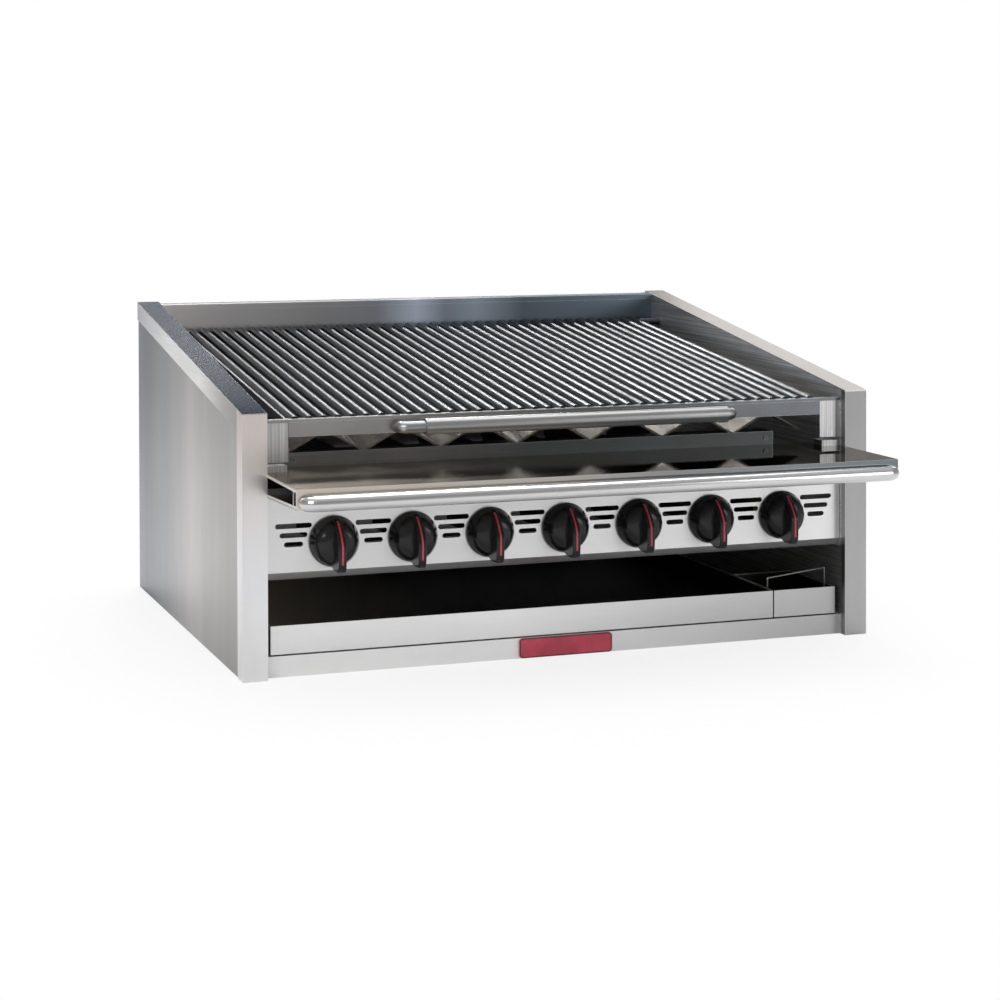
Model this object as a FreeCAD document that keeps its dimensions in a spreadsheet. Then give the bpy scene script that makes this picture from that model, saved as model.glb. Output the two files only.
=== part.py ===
import FreeCAD, Part
import os
import re

import Sketcher

from FreeCAD import Placement, Rotation, Vector

# Countertop gas charbroiler, 36 inches wide, as an assembly of separate pieces.
# Millimetres. X runs to the right, Y to the back, Z up. The origin is the middle of the
# cabinet's footprint on the counter. Depths below are counted from the front of the columns
# and moved back by half the cabinet's depth when a piece is placed.

SIZES = {
    # cabinet
    "width": 914.4,
    "body_depth": 740,
    "front_height": 352,
    "back_height": 457,
    "skin": 1.5,
    "column_width": 34,
    "column_return": 30,
    "column_inner_return": 12,
    "cap_lip": 28,
    "splash_depth": 709,
    "splash_low": 250,
    "splash_band": 8,
    "splash_proud": 4,
    "splash_drop": 4,
    # base
    "base_height": 28,
    "base_set_back": 16,
    "base_flange": 20,
    "badge_length": 136,
    "badge_height": 28,
    "badge_thick": 3,
    "badge_corner": 5,
    "badge_lift": 0.4,
    "runner_width": 24,
    "runner_inset": 70,
    # pans in the bottom bay
    "pan_low": 30,
    "pan_height": 38,
    "pan_wall": 1.5,
    "pan_front": 17,
    "pan_depth": 620,
    "pan_side_gap": 7.5,
    "pan_split": 318,
    "pan_gap": 1,
    "box_depth": 140,
    "wire_radius": 1.3,
    "wire_front": 45,
    "wire_left_rise": 13,
    "wire_right_rise": 23,
    "wire_sink": 20,
    "slide_gap": 0.3,
    # control panel
    "panel_front": 16.5,
    "panel_top": 250,
    "panel_low": 138,
    "panel_lip_low": 127.5,
    "panel_lip_back": 10,
    "panel_flange": 16,
    "panel_side_gap": 0.7,
    "burner_count": 7,
    "burner_pitch": 109.8,
    "knob_height": 176.5,
    "stem_hole": 7,
    "slot_height": 6.8,
    "slot_long": 50,
    "slot_middle": 38,
    "slot_short": 26,
    "slot_top": 199.5,
    "slot_step": 12.3,
    # knobs and valves
    "knob_radius": 34.5,
    "knob_rim": 4,
    "knob_shoulder": 18,
    "knob_shoulder_radius": 29,
    "knob_bell": 25,
    "knob_face": 17,
    "knob_grip_width": 14,
    "knob_grip_start": 12,
    "knob_grip_top": 32.5,
    "knob_grip_out": 45.5,
    "knob_grip_bend": 3,
    "knob_nose": 36.5,
    "knob_nose_slant": 5.5,
    "knob_nose_rise": 13,
    "knob_gap": 1,
    "stem_radius": 4,
    "stem_fit": 0.06,
    "stem_in_knob": 14,
    "stem_in_valve": 12,
    "valve_front": 44,
    "valve_length": 40,
    "valve_radius": 12,
    "valve_neck": 9,
    "orifice_length": 14,
    "orifice_radius": 6,
    # gas pipes
    "pipe_radius": 13.35,
    "pipe_bore": 10.5,
    "manifold_depth": 66,
    "manifold_drop": 34,
    "manifold_end_gap": 8,
    "inlet_side": 396,
    "inlet_out": 22,
    "pipe_hole_gap": 1.5,
    "hanger_side": 300,
    "hanger_thick": 3,
        "hanger_above": 23,
    # burners
    "burner_radius": 18,
    "burner_height": 232,
    "burner_front": 126,
    "burner_length": 520,
    "mixer_radius": 14,
    "mixer_front": 106,
    "mixer_rise_depth": 150,
    "pilot_depth": 112,
    "pilot_height": 206,
    "pilot_radius": 4,
    "pilot_tip_height": 34,
    "shelf_width": 30,
    "shelf_front": 170,
    "shelf_back": 600,
    "shelf_drop": 26,
    "seat_gap": 0.1,
    # burner box front rail
    "rail_depth": 60,
    "rail_top": 291,
    "rail_flange": 40,
    "rail_right_end": 338,
    "screw_radius": 3,
    "screw_height": 1.5,
    "screw_side": 373,
    "screw_inset": 12,
    # radiants
    "radiant_half": 54.4,
    "radiant_rise": 30,
    "radiant_thick": 3,
    "radiant_foot": 5.4,
    "radiant_front": 62,
    "radiant_length": 590,
    "radiant_gap": 0.3,
    "radiant_bar": 12,
    # work deck
    "deck_top": 272,
    "deck_out": 155,
    "deck_front_low": 246,
    "deck_back_low": 240,
    "gusset_rim": 3,
    "gusset_post": 12,
    "gusset_post_width": 3,
    "deck_bar_radius": 9.8,
    "deck_bar_height": 254.5,
    "deck_bar_reach": 12,
    "deck_bar_bend": 10.5,
    "deck_bar_inset": 2,
    "clip_height": 8,
    "clip_width": 30,
    "clip_depth": 26,
    "clip_front": 14,
    # grid rests beside the firebox mouth
    "bracket_face": 16,
    "bracket_width": 32,
    "bracket_low": 284.5,
    "bracket_top": 336.4,
    "bracket_thick": 3,
    "bracket_return": 40,
    # tilting grid
    "grid_slope": 6.2,
    "grid_face": 16,
    "rod_radius": 6.35,
    "rod_count": 39,
    "rod_side_gap": 0.15,
    "rod_length": 668,
    "rod_front": 26.75,
    "rod_end_gap": 0.75,
    "rod_front_height": 337.5,
    "ledge_low": 337,
    "ledge_thick": 4,
    "ledge_depth": 12,
    "ledge_side_gap": 0.6,
    "front_bar_gap": 0.7,
    "front_bar_low": 317.5,
    "front_bar_thick": 5,
    "side_bar_width": 4,
    "side_bar_height": 22,
    "rear_bar_thick": 8,
    "rear_bar_height": 24,
    "rear_bar_rise": 2.5,
    "pivot_radius": 6,
    "pivot_fit": 0.08,
    "pivot_along": 655,
    # lifting handle
    "handle_left": 249,
    "handle_right": 253,
    "handle_radius": 8,
    "handle_reach": 20,
    "handle_bend": 9.5,
    "handle_height": 326,
    "sleeve_radius": 11,
    "sleeve_gap": 0.4,
    "sleeve_length": 443,
    "sleeve_end_gap": 0.5,
}

HALF = "(width/2)"
INNER = "(width/2 - column_width)"
RISE = "((back_height - front_height)/body_depth)"
SHIFT = "(-body_depth/2)"
PAN_TOP = "(pan_low + pan_height)"
BAR_HALF = f"({INNER} - bracket_width - front_bar_gap)"
BAR_FACE = "(grid_face + front_bar_thick)"
ROD_PITCH = f"(2*({BAR_HALF} - side_bar_width - rod_radius - rod_side_gap)/(rod_count - 1))"
HANDLE_DEPTH = "(grid_face - handle_reach)"
MANIFOLD_HEIGHT = "(knob_height - manifold_drop)"
VALVE_BACK = "(valve_front + valve_length)"
DECK_BAR_DEPTH = "(-deck_out - deck_bar_reach)"
RADIANT_SEAT = "(rail_top + radiant_gap)"

X_AXIS = Vector(1, 0, 0)
Y_AXIS = Vector(0, 1, 0)
TURNS = {
    "x": Rotation(Y_AXIS, 90),
    "y": Rotation(X_AXIS, -90),
    "z": Rotation(),
}

doc = FreeCAD.newDocument("charbroiler")
sheet = doc.addObject("Spreadsheet::Sheet", "Dims")
for row, (alias, size) in enumerate(SIZES.items(), start=1):
    sheet.set(f"A{row}", alias)
    sheet.set(f"B{row}", str(size))
    sheet.setAlias(f"B{row}", alias)
doc.recompute()

nodes = []


def tie(text):
    """The same expression with every size looked up in the sheet."""
    return re.sub(r"[a-z_]+", lambda word: f"Dims.{word[0]}" if word[0] in SIZES else word[0], str(text))


def size_of(text):
    """The number that an expression of sizes comes to now."""
    return float(sheet.evalExpression(tie(text)))


def roof(depth):
    """Height of the sloping top edge of the cabinet at a depth."""
    return f"(front_height + ({depth})*{RISE})"


def sided(side, low, high):
    """The span from low to high on the right (side 1), or its mirror image on the left."""
    if side > 0:
        return low, high
    return f"-({high})", f"-({low})"


def place(piece, x, depth, height):
    """Tie a piece's base point to expressions, the second one a depth."""
    piece.setExpression("Placement.Base.x", tie(x))
    piece.setExpression("Placement.Base.y", tie(f"{SHIFT} + ({depth})"))
    piece.setExpression("Placement.Base.z", tie(height))
    return piece


def place_on_slope(piece, x, along, above, slope_front="rod_front", slope_height="rod_front_height"):
    """Tie a piece to the line that rises to the back with the grid's slope."""
    depth = f"{slope_front} + ({along})*cos(grid_slope) - ({above})*sin(grid_slope)"
    height = f"{slope_height} + ({along})*sin(grid_slope) + ({above})*cos(grid_slope)"
    return place(piece, x, depth, height)


def box(name, x, y, z):
    """Box between three pairs of planes."""
    piece = doc.addObject("Part::Box", name)
    for side, (low, high) in zip(("Length", "Width", "Height"), (x, y, z)):
        piece.setExpression(side, tie(f"({high}) - ({low})"))
    return place(piece, x[0], y[0], z[0])


def rod(name, radius, length, axis, x, depth, height):
    """Round bar along an axis from its base point."""
    piece = doc.addObject("Part::Cylinder", name)
    piece.setExpression("Radius", tie(radius))
    piece.setExpression("Height", tie(length))
    piece.Placement = Placement(Vector(), TURNS[axis])
    return place(piece, x, depth, height)


def cut(name, base, tool):
    """One piece with another shape taken out of it."""
    piece = doc.addObject("Part::Cut", name)
    piece.Base = base
    piece.Tool = tool
    return piece


def fuse(name, shapes):
    """One welded or cast piece made of several shapes."""
    piece = doc.addObject("Part::MultiFuse", name)
    piece.Shapes = shapes
    return piece


def group(name, shapes):
    """Separate identical pieces that share one node."""
    piece = doc.addObject("Part::Compound", name)
    piece.Links = shapes
    return piece


def origin_plane(body, role):
    """One of a body's own origin planes or axes."""
    return next(item for item in body.Origin.OriginFeatures if item.Role == role)


def add_outline(sketch, points):
    """Closed outline of straight lines, each corner tied to two expressions."""
    corners = [Vector(size_of(across), size_of(up), 0) for across, up in points]
    first = sketch.GeometryCount
    for index, corner in enumerate(corners):
        sketch.addGeometry(Part.LineSegment(corner, corners[(index + 1) % len(corners)]))
    for index, (across, up) in enumerate(points):
        line = first + index
        following = first + (index + 1) % len(points)
        sketch.addConstraint(Sketcher.Constraint("Coincident", line, 2, following, 1))
        for kind, text, now in (("DistanceX", across, corners[index].x), ("DistanceY", up, corners[index].y)):
            number = sketch.addConstraint(Sketcher.Constraint(kind, -1, 1, line, 1, now))
            sketch.setExpression(f"Constraints[{number}]", tie(text))


def add_circle(sketch, across, up, radius):
    """Circle tied to the expressions of its centre and radius."""
    centre = Vector(size_of(across), size_of(up), 0)
    line = sketch.addGeometry(Part.Circle(centre, Vector(0, 0, 1), size_of(radius)))
    for kind, text, now in (("DistanceX", across, centre.x), ("DistanceY", up, centre.y)):
        number = sketch.addConstraint(Sketcher.Constraint(kind, -1, 1, line, 3, now))
        sketch.setExpression(f"Constraints[{number}]", tie(text))
    number = sketch.addConstraint(Sketcher.Constraint("Radius", line, size_of(radius)))
    sketch.setExpression(f"Constraints[{number}]", tie(radius))


def add_slot(sketch, across, up, length, height):
    """Level slot with round ends, tied to its middle, length and height."""
    half = size_of(f"({length} - {height})/2")
    radius = size_of(f"{height}/2")
    middle = Vector(size_of(across), size_of(up), 0)
    left = middle - Vector(half, 0, 0)
    right = middle + Vector(half, 0, 0)
    lift = Vector(0, radius, 0)
    top = sketch.addGeometry(Part.LineSegment(left + lift, right + lift))
    cap = sketch.addGeometry(Part.Arc(right + lift, right + Vector(radius, 0, 0), right - lift))
    low = sketch.addGeometry(Part.LineSegment(right - lift, left - lift))
    tail = sketch.addGeometry(Part.Arc(left - lift, left - Vector(radius, 0, 0), left + lift))
    sketch.addConstraint(Sketcher.Constraint("Tangent", top, 2, cap, 2))
    sketch.addConstraint(Sketcher.Constraint("Tangent", cap, 1, low, 1))
    sketch.addConstraint(Sketcher.Constraint("Tangent", low, 2, tail, 2))
    sketch.addConstraint(Sketcher.Constraint("Tangent", tail, 1, top, 1))
    sketch.addConstraint(Sketcher.Constraint("Horizontal", top))
    for kind, point, text in (
        ("DistanceX", cap, f"({across}) + ({length} - {height})/2"),
        ("DistanceX", tail, f"({across}) - ({length} - {height})/2"),
        ("DistanceY", cap, up),
    ):
        number = sketch.addConstraint(Sketcher.Constraint(kind, -1, 1, point, 3, size_of(text)))
        sketch.setExpression(f"Constraints[{number}]", tie(text))
    number = sketch.addConstraint(Sketcher.Constraint("Radius", cap, radius))
    sketch.setExpression(f"Constraints[{number}]", tie(f"{height}/2"))


def new_sketch(body, plane, offset="0"):
    """Sketch on one of a body's origin planes, moved along the plane's normal."""
    sketch = body.newObject("Sketcher::SketchObject", body.Name + "_sketch")
    sketch.AttachmentSupport = (origin_plane(body, plane), [""])
    sketch.MapMode = "FlatFace"
    sketch.setExpression("AttachmentOffset.Base.z", tie(offset))
    return sketch


def pad(body, sketch, length):
    """Extrusion of a sketch along its plane's normal."""
    feature = body.newObject("PartDesign::Pad", body.Name + "_pad")
    feature.Profile = sketch
    feature.setExpression("Length", tie(length))
    return feature


def pocket_through(body, sketch):
    """Cut of a sketch right through the body, both ways from its plane."""
    before = body.Shape.Volume
    feature = body.newObject("PartDesign::Pocket", body.Name + "_pocket")
    feature.Profile = sketch
    feature.Type = "ThroughAll"
    feature.Midplane = True
    doc.recompute()
    if not feature.Shape.Volume < before:
        raise ValueError(f"{feature.Name} cuts nothing")
    return feature


def profile_along_x(name, points, x):
    """Body with one section, given in depth and height, between two planes across X."""
    body = doc.addObject("PartDesign::Body", name)
    sketch = new_sketch(body, "YZ_Plane", x[0])
    add_outline(sketch, points)
    pad(body, sketch, f"({x[1]}) - ({x[0]})")
    place(body, "0", "0", "0")
    doc.recompute()
    return body


def node(name, piece):
    """Name a finished piece as a node of the assembly."""
    piece.Label = name
    nodes.append(piece)
    return piece


def bent_bar(name, left, right, radius, bend, depth, seat, height):
    """Round bar across the front whose ends bend back, square on, to a seat behind it."""
    straight = rod(
        name + "_straight", radius, f"({left}) + ({right}) - 2*({radius} + {bend})", "x",
        f"-({left}) + {radius} + {bend}", depth, height,
    )
    pieces = [straight]
    for word, edge, sign, turn in (("left", left, -1, 180), ("right", right, 1, 270)):
        centre = f"{sign}*(({edge}) - {radius} - {bend})"
        elbow = doc.addObject("Part::Torus", f"{name}_{word}_elbow")
        elbow.setExpression("Radius1", tie(bend))
        elbow.setExpression("Radius2", tie(radius))
        elbow.Angle3 = 90
        elbow.Placement = Placement(Vector(), Rotation(Vector(0, 0, 1), turn))
        place(elbow, centre, f"({depth}) + {bend}", height)
        pieces.append(elbow)
        pieces.append(rod(
            f"{name}_{word}_stub", radius, f"({seat}) - ({depth}) - {bend}", "y",
            f"{sign}*(({edge}) - {radius})", f"({depth}) + {bend}", height,
        ))
    return fuse(name, pieces)


def make_cabinet():
    """Double-walled sides, columns, sloping caps and the back."""
    for word, side in (("left", -1), ("right", 1)):
        skin_span = sided(side, f"{HALF} - 2*skin", f"{HALF} - skin")
        skin_back = "body_depth - skin"
        skin_outline = [
            ("skin", "0"),
            (skin_back, "0"),
            (skin_back, f"{roof(skin_back)} - skin"),
            ("skin", f"{roof('skin')} - skin"),
        ]
        node(f"{word}_side_skin", profile_along_x(f"{word}_side_skin", skin_outline, skin_span))

        liner_front = "column_inner_return"
        liner_outline = [
            (liner_front, "0"),
            (skin_back, "0"),
            (skin_back, f"{roof(skin_back)} - skin"),
            (liner_front, f"{roof(liner_front)} - skin"),
        ]
        liner_span = sided(side, INNER, f"{INNER} + skin")
        node(f"{word}_side_liner", profile_along_x(f"{word}_side_liner", liner_outline, liner_span))

        node(f"{word}_column", make_column(word, side))
        node(f"{word}_cap", make_cap(word, side))

    panel = box(
        "back_panel_sheet",
        (f"-({HALF} - skin)", f"{HALF} - skin"),
        ("body_depth - skin", "body_depth"),
        ("0", "back_height - 2*skin"),
    )
    hole = rod(
        "inlet_hole", "pipe_radius + pipe_hole_gap", "4*skin", "y",
        "inlet_side", "body_depth - 2*skin", MANIFOLD_HEIGHT,
    )
    node("back_panel", cut("back_panel", panel, hole))

    top = "(back_height - splash_drop)"
    splash_outline = [
        ("splash_depth - splash_proud", top),
        ("body_depth - skin", top),
        ("body_depth - skin", f"{top} - skin"),
        ("splash_depth + skin", f"{top} - skin"),
        ("splash_depth + skin", "splash_low"),
        ("splash_depth", "splash_low"),
        ("splash_depth", f"{top} - splash_band"),
        ("splash_depth - splash_proud", f"{top} - splash_band"),
    ]
    node("backsplash", profile_along_x("backsplash", splash_outline, (f"-{INNER}", INNER)))


def make_column(word, side):
    """Front column: a channel whose returns run back along both walls, cut to the slope."""
    body = doc.addObject("PartDesign::Body", f"{word}_column")
    sketch = new_sketch(body, "XY_Plane")
    section = [
        (INNER, "0"),
        (HALF, "0"),
        (HALF, "column_return"),
        (f"{HALF} - skin", "column_return"),
        (f"{HALF} - skin", "skin"),
        (f"{INNER} + skin", "skin"),
        (f"{INNER} + skin", "column_inner_return"),
        (INNER, "column_inner_return"),
    ]
    add_outline(sketch, [(f"{side}*({across})", up) for across, up in section])
    pad(body, sketch, roof("column_return"))
    place(body, "0", "0", "0")
    doc.recompute()
    over = roof("column_return + skin")
    slant = new_sketch(body, "YZ_Plane")
    add_outline(slant, [
        ("-skin", f"{roof('-skin')} - skin"),
        ("column_return + skin", f"{over} - skin"),
        ("column_return + skin", f"{over} + skin"),
        ("-skin", f"{over} + skin"),
    ])
    pocket_through(body, slant)
    return body


def make_cap(word, side):
    """Sloping cap over a double wall, with a lip folded down outside."""
    body = doc.addObject("PartDesign::Body", f"{word}_cap")
    spans = (
        (sided(side, INNER, HALF), "0", "0", "skin"),
        (sided(side, f"{HALF} - skin", HALF), "column_return", "skin", "cap_lip"),
    )
    for (low, high), front, upper, lower in spans:
        sketch = new_sketch(body, "YZ_Plane", low)
        add_outline(sketch, [
            (front, f"{roof(front)} - {lower}"),
            ("body_depth", f"{roof('body_depth')} - {lower}"),
            ("body_depth", f"{roof('body_depth')} - {upper}"),
            (front, f"{roof(front)} - {upper}"),
        ])
        pad(body, sketch, f"({high}) - ({low})")
        doc.recompute()
    return place(body, "0", "0", "0")


def make_base():
    """Floor of the bottom bay, the rail across its front with a plain badge, and the runners."""
    rail_outline = [
        ("base_set_back", "0"),
        ("base_set_back + base_flange", "0"),
        ("base_set_back + base_flange", "skin"),
        ("base_set_back + skin", "skin"),
        ("base_set_back + skin", "base_height - skin"),
        ("base_set_back + base_flange", "base_height - skin"),
        ("base_set_back + base_flange", "base_height"),
        ("base_set_back", "base_height"),
    ]
    node("base_front_rail", profile_along_x("base_front_rail", rail_outline, (f"-{INNER}", INNER)))
    floor = box(
        "floor_sheet", (f"-{INNER}", INNER),
        ("base_set_back + base_flange", "body_depth - skin"), ("0", "skin"),
    )
    node("floor_sheet", floor)

    runners = []
    places = (
        f"-({INNER} - runner_inset)",
        "pan_split - runner_inset - runner_width",
        f"{INNER} - runner_inset",
    )
    for number, left in enumerate(places, start=1):
        runners.append(box(
            f"runner_{number}", (left, f"{left} + runner_width"),
            ("base_set_back + base_flange", "body_depth - skin"),
            ("skin", "pan_low - slide_gap"),
        ))
    node("pan_runners", group("pan_runners", runners))

    body = doc.addObject("PartDesign::Body", "badge_plate")
    sketch = new_sketch(body, "XZ_Plane", "-base_set_back")
    add_outline(sketch, [
        ("-badge_length/2", "badge_lift"),
        ("badge_length/2", "badge_lift"),
        ("badge_length/2", "badge_lift + badge_height - 2*badge_lift"),
        ("-badge_length/2", "badge_lift + badge_height - 2*badge_lift"),
    ])
    plate = pad(body, sketch, "badge_thick")
    doc.recompute()
    upright = [
        f"Edge{number}" for number, edge in enumerate(plate.Shape.Edges, start=1)
        if abs(edge.tangentAt(edge.FirstParameter).y) > 0.9
    ]
    rounding = body.newObject("PartDesign::Fillet", "badge_rounding")
    rounding.Base = (plate, upright)
    rounding.setExpression("Radius", tie("badge_corner"))
    place(body, "0", "0", "0")
    node("badge_plate", body)


def make_tray(name, x, depth):
    """Open tray of sheet in the bottom bay."""
    outside = box(name + "_outside", x, ("pan_front", f"pan_front + {depth}"), ("pan_low", PAN_TOP))
    inside = box(
        name + "_inside", (f"{x[0]} + pan_wall", f"{x[1]} - pan_wall"),
        ("pan_front + pan_wall", f"pan_front + {depth} - pan_wall"),
        ("pan_low + pan_wall", f"{PAN_TOP} + pan_wall"),
    )
    return cut(name, outside, inside)


def make_pans():
    """Water pan, grease box beside it, and the box's wire pull."""
    left = f"-({INNER} - pan_side_gap)"
    right = f"{INNER} - pan_side_gap"
    node("water_pan", make_tray("water_pan", (left, "pan_split - pan_gap"), "pan_depth"))
    node("grease_box", make_tray("grease_box", ("pan_split + pan_gap", right), "box_depth"))

    near = size_of("pan_split + pan_gap + pan_wall + wire_radius")
    far = size_of(f"{right} - pan_wall - wire_radius")
    depth = size_of(f"{SHIFT} + wire_front")
    foot = size_of(f"{PAN_TOP} - wire_sink")
    start = Vector(near, depth, foot)
    near_bend = Vector(near, depth, size_of(f"{PAN_TOP} + wire_left_rise"))
    far_bend = Vector(far, depth, size_of(f"{PAN_TOP} + wire_right_rise"))
    wire = Part.Wire([Part.makeLine(start, near_bend), Part.makeLine(near_bend, far_bend),
                      Part.makeLine(far_bend, Vector(far, depth, foot))])
    section = Part.Wire([Part.makeCircle(size_of("wire_radius"), start, Vector(0, 0, 1))])
    pull = doc.addObject("Part::Feature", "grease_box_pull")
    pull.Shape = wire.makePipeShell([section], True, False, 2)
    node("grease_box_pull", pull)


def make_control_panel():
    """Valve panel with a lip folded under it, seven stem holes and eight groups of louvres."""
    outline = [
        ("panel_front", "panel_top"),
        ("panel_front", "panel_low"),
        ("panel_front + panel_lip_back", "panel_lip_low"),
        ("panel_front + panel_lip_back + panel_flange", "panel_lip_low"),
        ("panel_front + panel_lip_back + panel_flange", "panel_lip_low + skin"),
        ("panel_front + panel_lip_back + skin/2", "panel_lip_low + skin"),
        ("panel_front + skin", "panel_low + skin/2"),
        ("panel_front + skin", "panel_top"),
    ]
    half = f"({INNER} - panel_side_gap)"
    body = profile_along_x("control_panel", outline, (f"-{half}", half))

    first_knob = "-burner_pitch*(burner_count - 1)/2"
    holes = new_sketch(body, "XZ_Plane")
    add_circle(holes, first_knob, "knob_height", "stem_hole")
    hole_row = repeat_along_x(body, pocket_through(body, holes), "burner_count")

    slots = new_sketch(body, "XZ_Plane")
    for row, length in enumerate(("slot_long", "slot_middle", "slot_short")):
        add_slot(slots, f"{first_knob} - burner_pitch/2", f"slot_top - {row}*slot_step", length, "slot_height")
    before = hole_row.Shape.Volume
    slot_row = repeat_along_x(body, pocket_through(body, slots), "burner_count + 1")
    if not slot_row.Shape.Volume < before:
        raise ValueError("the louvres cut nothing")
    node("control_panel", body)


def repeat_along_x(body, feature, count):
    """Row of a cut feature at the burners' pitch."""
    row = body.newObject("PartDesign::LinearPattern", feature.Name + "_row")
    row.Originals = [feature]
    row.Direction = (origin_plane(body, "X_Axis"), [""])
    row.setExpression("Length", tie(f"burner_pitch*({count} - 1)"))
    row.setExpression("Occurrences", tie(count))
    body.Tip = row
    doc.recompute()
    return row


def burner_places():
    """Places across X of the burners, valves and knobs, left to right."""
    count = int(SIZES["burner_count"])
    return [f"burner_pitch*({number} - (burner_count - 1)/2)" for number in range(count)]


def make_knob(number, x):
    """Bell-shaped knob with a grip bar whose nose points down, bored for its stem."""
    body = doc.addObject("PartDesign::Body", f"knob_{number}")
    bell = new_sketch(body, "YZ_Plane")
    add_outline(bell, [
        ("0", "0"),
        ("0", "knob_radius"),
        ("-knob_rim", "knob_radius"),
        ("-knob_shoulder", "knob_shoulder_radius"),
        ("-knob_bell", "knob_face"),
        ("-knob_bell", "0"),
    ])
    turned = body.newObject("PartDesign::Revolution", f"knob_{number}_bell")
    turned.Profile = bell
    turned.ReferenceAxis = (bell, ["H_Axis"])
    turned.Angle = 360
    doc.recompute()
    grip = new_sketch(body, "YZ_Plane", "-knob_grip_width/2")
    add_outline(grip, [
        ("-knob_grip_start", "knob_grip_top"),
        ("-knob_grip_out", "knob_grip_bend"),
        ("-knob_grip_out", "knob_nose_rise - knob_nose"),
        ("knob_nose_slant - knob_grip_out", "-knob_nose"),
        ("-knob_grip_start", "-knob_nose"),
    ])
    pad(body, grip, "knob_grip_width")
    doc.recompute()
    before = body.Shape.Volume
    bore = new_sketch(body, "XZ_Plane")
    add_circle(bore, "0", "0", "stem_radius + stem_fit")
    drilled = body.newObject("PartDesign::Pocket", f"knob_{number}_bore")
    drilled.Profile = bore
    drilled.Reversed = True
    drilled.setExpression("Length", tie("stem_in_knob"))
    doc.recompute()
    if not drilled.Shape.Volume < before:
        raise ValueError("the knob's bore cuts nothing")
    return place(body, x, "panel_front - knob_gap", "knob_height")


def make_controls():
    """A knob and a valve stem for each burner, and the valves that the stems turn in."""
    knob_back = "(panel_front - knob_gap)"
    stem_front = f"({knob_back} - stem_in_knob + stem_fit)"
    valves = []
    orifices = []
    for number, x in enumerate(burner_places(), start=1):
        node(f"knob_{number}", make_knob(number, x))
        stem = rod(
            f"valve_stem_{number}", "stem_radius",
            f"valve_front + stem_in_valve - stem_fit - {stem_front}", "y", x, stem_front, "knob_height",
        )
        node(f"valve_stem_{number}", stem)
        barrel = rod(f"valve_barrel_{number}", "valve_radius", "valve_length", "y",
                     x, "valve_front", "knob_height")
        neck = rod(f"valve_neck_{number}", "valve_neck", "manifold_drop", "z",
                   x, "manifold_depth", MANIFOLD_HEIGHT)
        bore = rod(f"valve_bore_{number}", "stem_radius + stem_fit", "stem_in_valve + skin", "y",
                   x, "valve_front - skin", "knob_height")
        pipe = rod(f"valve_saddle_{number}", "pipe_radius", "4*valve_radius", "x",
                   f"{x} - 2*valve_radius", "manifold_depth", MANIFOLD_HEIGHT)
        body = fuse(f"valve_body_{number}", [barrel, neck])
        bored = cut(f"valve_bored_{number}", body, bore)
        valves.append(cut(f"valve_{number}", bored, pipe))
        orifices.append(rod(f"orifice_{number}", "orifice_radius", "orifice_length", "y",
                            x, VALVE_BACK, "knob_height"))
    node("gas_valves", group("gas_valves", valves))
    node("burner_orifices", group("burner_orifices", orifices))


def make_gas_pipes():
    """Manifold across the front, its hangers and the inlet pipe that leaves at the back."""
    end = f"({INNER} - manifold_end_gap)"
    node("gas_manifold", rod("gas_manifold", "pipe_radius", f"2*{end}", "x", f"-{end}",
                             "manifold_depth", MANIFOLD_HEIGHT))
    inlet_front = "(manifold_depth + pipe_radius)"
    inlet_length = f"body_depth + inlet_out - {inlet_front}"
    outside = rod("inlet_outside", "pipe_radius", inlet_length, "y", "inlet_side",
                  inlet_front, MANIFOLD_HEIGHT)
    bore = rod("inlet_bore", "pipe_bore", f"{inlet_length} + 2*skin", "y", "inlet_side",
               f"{inlet_front} - skin", MANIFOLD_HEIGHT)
    node("gas_inlet_pipe", cut("gas_inlet_pipe", outside, bore))

    hangers = []
    for side in (-1, 1):
        low, high = sided(side, "hanger_side", "hanger_side + hanger_thick")
        plate = box(
            f"hanger_plate_{side + 2}", (low, high),
            ("panel_front + skin", "manifold_depth"),
            ("panel_low + skin", f"{MANIFOLD_HEIGHT} + hanger_above"),
        )
        notch = rod(f"hanger_notch_{side + 2}", "pipe_radius", "3*hanger_thick", "x",
                    f"{low} - hanger_thick", "manifold_depth", MANIFOLD_HEIGHT)
        hangers.append(cut(f"hanger_{side + 2}", plate, notch))
    node("manifold_hangers", group("manifold_hangers", hangers))


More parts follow.
